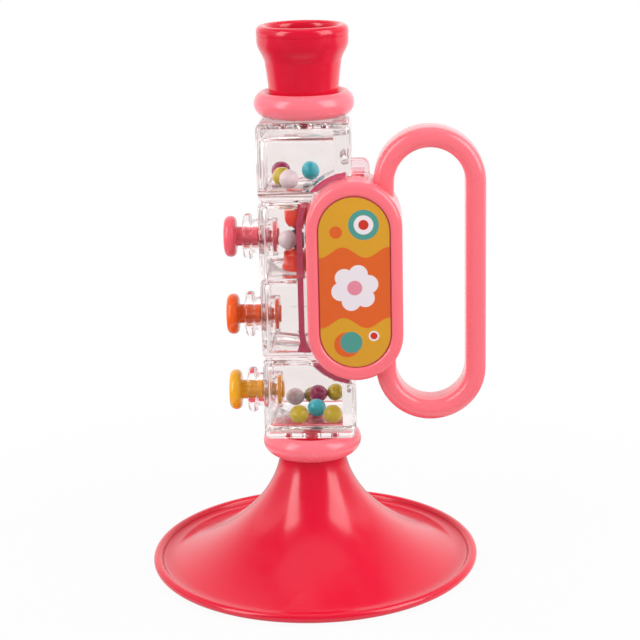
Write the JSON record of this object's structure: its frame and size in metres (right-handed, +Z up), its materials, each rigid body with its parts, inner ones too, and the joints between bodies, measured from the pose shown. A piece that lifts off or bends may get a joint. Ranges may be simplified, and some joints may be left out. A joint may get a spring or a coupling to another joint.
{
  "type": "toy trumpet",
  "caption": "Toy trumpet that stands on its bell, with a clear rattle body, spring plungers, a labelled housing and a loop handle.",
  "frame": {"origin": "on the tube's axis, on the plane that the bell's rim stands on", "axes": "+Z up the tube to the mouthpiece, -Y the label side, -X the side of the plungers, +X the handle"},
  "size_m": [0.1465, 0.1436, 0.236],
  "materials": {
    "crimson": "gloss moulded",
    "rose": "gloss moulded",
    "coral": "gloss moulded",
    "clear": "clear, faintly pink",
    "plunger_pink": "gloss moulded",
    "plunger_orange": "gloss moulded",
    "plunger_yellow": "gloss moulded",
    "label": "printed satin film",
    "steel": "bright wire and screws",
    "red_orange": "gloss moulded",
    "grey": "gloss moulded",
    "purple": "gloss moulded",
    "lime": "gloss moulded",
    "olive": "gloss moulded",
    "white": "gloss moulded",
    "teal": "gloss moulded"
  },
  "bodies": {
    "trumpet": {"bell": "crimson", "bottom_ring": "rose", "front_shell": "clear", "rear_shell": "clear", "top_ring": "rose", "mouthpiece": "crimson", "front_housing": "coral", "rear_housing": "coral", "label_plate": "label", "lower_bush": "clear", "lower_spring": "steel", "middle_bush": "clear", "middle_spring": "steel", "upper_bush": "clear", "upper_spring": "steel", "housing_screw_lower": "steel", "housing_screw_upper": "steel", "body_screw_lower": "steel", "body_screw_upper": "steel", "seat_screw_lower": "steel", "seat_screw_upper": "steel"},
    "lower_valve": {"lower_plunger": "plunger_yellow", "lower_stem_cap": "plunger_yellow"},
    "middle_valve": {"middle_plunger": "plunger_orange", "middle_stem_cap": "plunger_orange"},
    "upper_valve": {"upper_plunger": "plunger_pink", "upper_stem_cap": "plunger_pink"},
    "spool": {"spool_upper_cup": "red_orange", "spool_axle": "grey", "spool_lower_cup": "red_orange"},
    "turning_ball": {"turning_ball": "white"},
    "bead_purple_top": {"bead_purple_top": "purple"},
    "bead_lime_top": {"bead_lime_top": "lime"},
    "bead_white_top": {"bead_white_top": "white"},
    "bead_teal_top": {"bead_teal_top": "teal"},
    "bead_lime_front_left": {"bead_lime_front_left": "lime"},
    "bead_lime_front_right": {"bead_lime_front_right": "lime"},
    "bead_teal_bottom": {"bead_teal_bottom": "teal"},
    "bead_white_bottom": {"bead_white_bottom": "white"},
    "bead_olive_bottom": {"bead_olive_bottom": "olive"},
    "bead_purple_bottom": {"bead_purple_bottom": "purple"},
    "bead_lime_back": {"bead_lime_back": "lime"}
  },
  "joints": [
    {"name": "lower_valve_press", "type": "slide", "parent": "trumpet", "child": "lower_valve", "axis": [1, 0, 0], "range_m": [0, 0.0024], "stiffness_N_per_m": 250, "springref_m": -0.002, "deforming": ["lower_spring"]},
    {"name": "middle_valve_press", "type": "slide", "parent": "trumpet", "child": "middle_valve", "axis": [1, 0, 0], "range_m": [0, 0.0024], "stiffness_N_per_m": 250, "springref_m": -0.002, "deforming": ["middle_spring"]},
    {"name": "upper_valve_press", "type": "slide", "parent": "trumpet", "child": "upper_valve", "axis": [1, 0, 0], "range_m": [0, 0.0024], "stiffness_N_per_m": 250, "springref_m": -0.002, "deforming": ["upper_spring"]},
    {"name": "spool_spin", "type": "hinge", "parent": "trumpet", "child": "spool", "pos_m": [-0.004, 0.0007, 0.1465], "axis": [0, 0, 1], "continuous": true},
    {"name": "turning_ball_spin", "type": "hinge", "parent": "trumpet", "child": "turning_ball", "pos_m": [-0.0077, -0.0103, 0.1479], "axis": [1, 0, 0], "continuous": true},
    {"name": "bead_purple_top_hop", "type": "slide", "parent": "trumpet", "child": "bead_purple_top", "axis": [0, 0, 1], "range_m": [0, 0.0125]},
    {"name": "bead_lime_top_hop", "type": "slide", "parent": "trumpet", "child": "bead_lime_top", "axis": [0, 0, 1], "range_m": [0, 0.0125]},
    {"name": "bead_white_top_hop", "type": "slide", "parent": "trumpet", "child": "bead_white_top", "axis": [0, 0, 1], "range_m": [0, 0.012]},
    {"name": "bead_teal_top_hop", "type": "slide", "parent": "trumpet", "child": "bead_teal_top", "axis": [0, 0, 1], "range_m": [0, 0.0125]},
    {"name": "bead_lime_front_left_hop", "type": "slide", "parent": "trumpet", "child": "bead_lime_front_left", "axis": [0, 0, 1], "range_m": [0, 0.0185]},
    {"name": "bead_lime_front_right_hop", "type": "slide", "parent": "trumpet", "child": "bead_lime_front_right", "axis": [0, 0, 1], "range_m": [0, 0.013]},
    {"name": "bead_teal_bottom_hop", "type": "slide", "parent": "trumpet", "child": "bead_teal_bottom", "axis": [0, 0, 1], "range_m": [0, 0.0175]},
    {"name": "bead_white_bottom_hop", "type": "slide", "parent": "trumpet", "child": "bead_white_bottom", "axis": [0, 0, 1], "range_m": [0, 0.0182]},
    {"name": "bead_olive_bottom_hop", "type": "slide", "parent": "trumpet", "child": "bead_olive_bottom", "axis": [0, 0, 1], "range_m": [0, 0.0185]},
    {"name": "bead_purple_bottom_hop", "type": "slide", "parent": "trumpet", "child": "bead_purple_bottom", "axis": [0, 0, 1], "range_m": [0, 0.0151]},
    {"name": "bead_lime_back_hop", "type": "slide", "parent": "trumpet", "child": "bead_lime_back", "axis": [0, 0, 1], "range_m": [0, 0.0155]}
  ]
}
